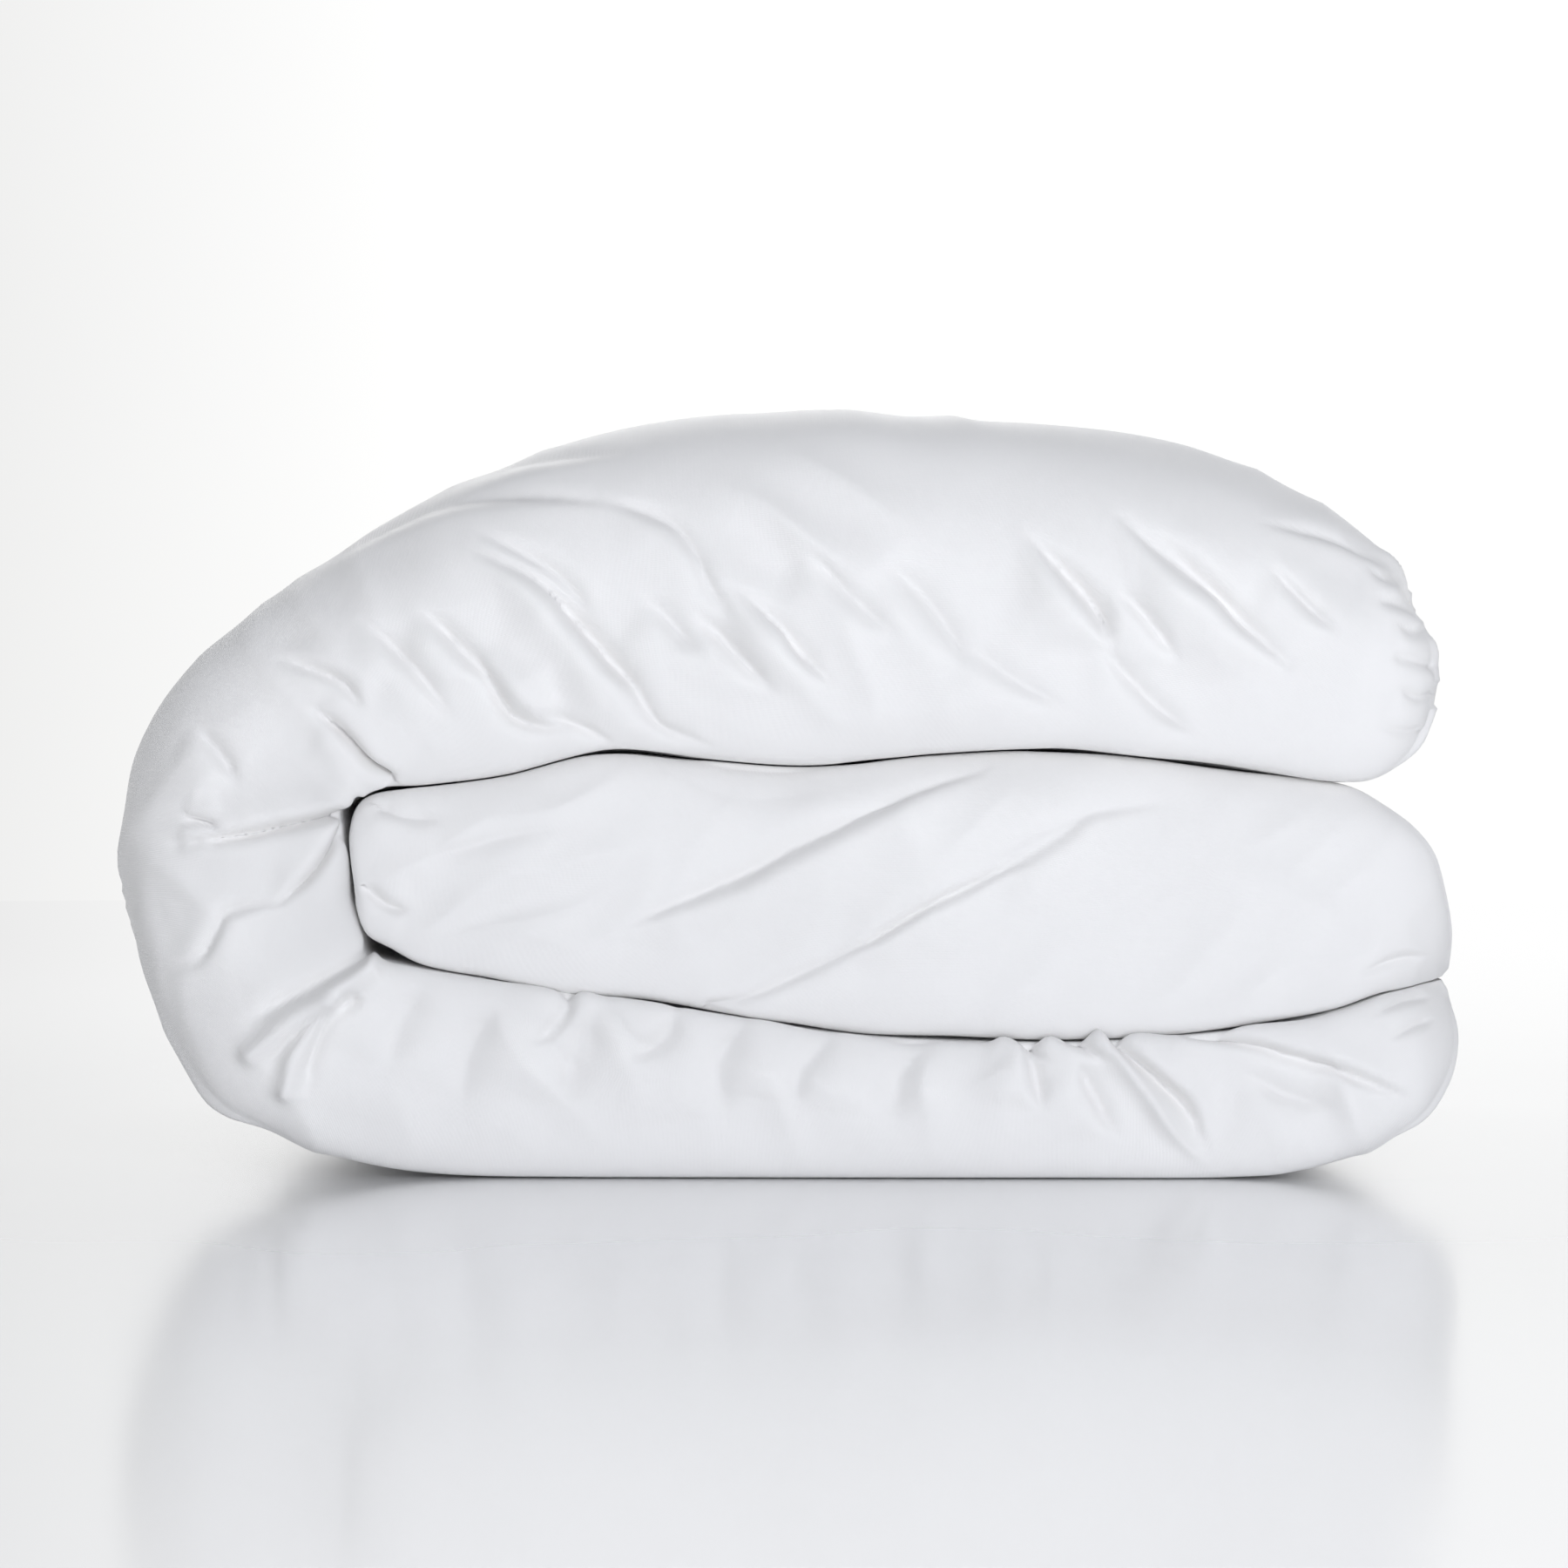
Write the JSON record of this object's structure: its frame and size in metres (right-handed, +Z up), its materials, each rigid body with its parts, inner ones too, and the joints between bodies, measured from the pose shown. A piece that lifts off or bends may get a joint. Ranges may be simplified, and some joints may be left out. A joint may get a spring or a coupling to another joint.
{
  "type": "folded duvet",
  "caption": "thick filled duvet in a plain white cotton cover, folded in half across its width and rolled in three, lying flat on its base layer",
  "frame": {"origin": "centre of the footprint on the floor", "axes": "X runs across the roll, from the big left fold to the open foot end; -Y faces the rounded half fold; Z is up"},
  "size_m": [0.75, 0.7, 0.431],
  "materials": {
    "cover_cloth": "matte",
    "lining_cloth": "matte",
    "fill": "matte",
    "tape": "matte",
    "coil": "satin",
    "zip_metal": "satin"
  },
  "bodies": {
    "base_layer": {"cover_face_base": "cover_cloth", "cover_lining_base": "lining_cloth", "fill_base_inner_front_left": "fill", "fill_base_inner_front_right": "fill", "fill_base_inner_rear_left": "fill", "fill_base_inner_rear_right": "fill", "fill_base_outer_front_left": "fill", "fill_base_outer_front_right": "fill", "fill_base_outer_rear_left": "fill", "fill_base_outer_rear_right": "fill", "side_hem_base_inner": "cover_cloth", "side_hem_base_outer": "cover_cloth"},
    "top_layer": {"care_label": "tape", "corner_loop_foot_inner": "tape", "corner_loop_foot_outer": "tape", "corner_tie_foot_inner": "tape", "corner_tie_foot_outer": "tape", "cover_face_top": "cover_cloth", "cover_foot_hem": "cover_cloth", "cover_lining_top": "lining_cloth", "fill_top_inner_front_left": "fill", "fill_top_inner_front_right": "fill", "fill_top_inner_rear_left": "fill", "fill_top_inner_rear_right": "fill", "fill_top_outer_front_left": "fill", "fill_top_outer_front_right": "fill", "fill_top_outer_rear_left": "fill", "fill_top_outer_rear_right": "fill", "side_hem_top_inner": "cover_cloth", "side_hem_top_outer": "cover_cloth", "zip_bottom_stop": "zip_metal", "zip_coil_lower": "coil", "zip_coil_upper": "coil", "zip_tape_lower": "tape", "zip_tape_upper": "tape", "zip_top_stop": "zip_metal"},
    "middle_layer": {"corner_loop_head_inner": "tape", "corner_loop_head_outer": "tape", "corner_tie_head_inner": "tape", "corner_tie_head_outer": "tape", "cover_face_middle": "cover_cloth", "cover_head_hem": "cover_cloth", "cover_lining_middle": "lining_cloth", "fill_middle_inner_front_left": "fill", "fill_middle_inner_front_right": "fill", "fill_middle_inner_rear_left": "fill", "fill_middle_inner_rear_right": "fill", "fill_middle_outer_front_left": "fill", "fill_middle_outer_front_right": "fill", "fill_middle_outer_rear_left": "fill", "fill_middle_outer_rear_right": "fill", "side_hem_middle_inner": "cover_cloth", "side_hem_middle_outer": "cover_cloth"},
    "slider": {"zip_slider": "zip_metal"},
    "pull_tab": {"zip_pull_tab": "zip_metal"}
  },
  "joints": [
    {"name": "top_fold", "type": "hinge", "parent": "base_layer", "child": "top_layer", "pos_m": [-0.375, 0, 0.182], "axis": [0, -1, 0], "range_deg": [0, 168]},
    {"name": "middle_fold", "type": "hinge", "parent": "base_layer", "child": "middle_layer", "pos_m": [0.375, 0, 0.1], "axis": [0, 1, 0], "range_deg": [0, 33.6]},
    {"name": "slider_run", "type": "slide", "parent": "top_layer", "child": "slider", "axis": [0, -1, 0], "range_m": [0, 0.55]},
    {"name": "pull_tab_pivot", "type": "hinge", "parent": "slider", "child": "pull_tab", "pos_m": [0.369, 0.2979, 0.2865], "axis": [0, 0, -1], "range_deg": [0, 170]}
  ],
  "couplings": [
    {"joint": "middle_fold", "follows": "top_fold", "ratio": 0.2}
  ]
}
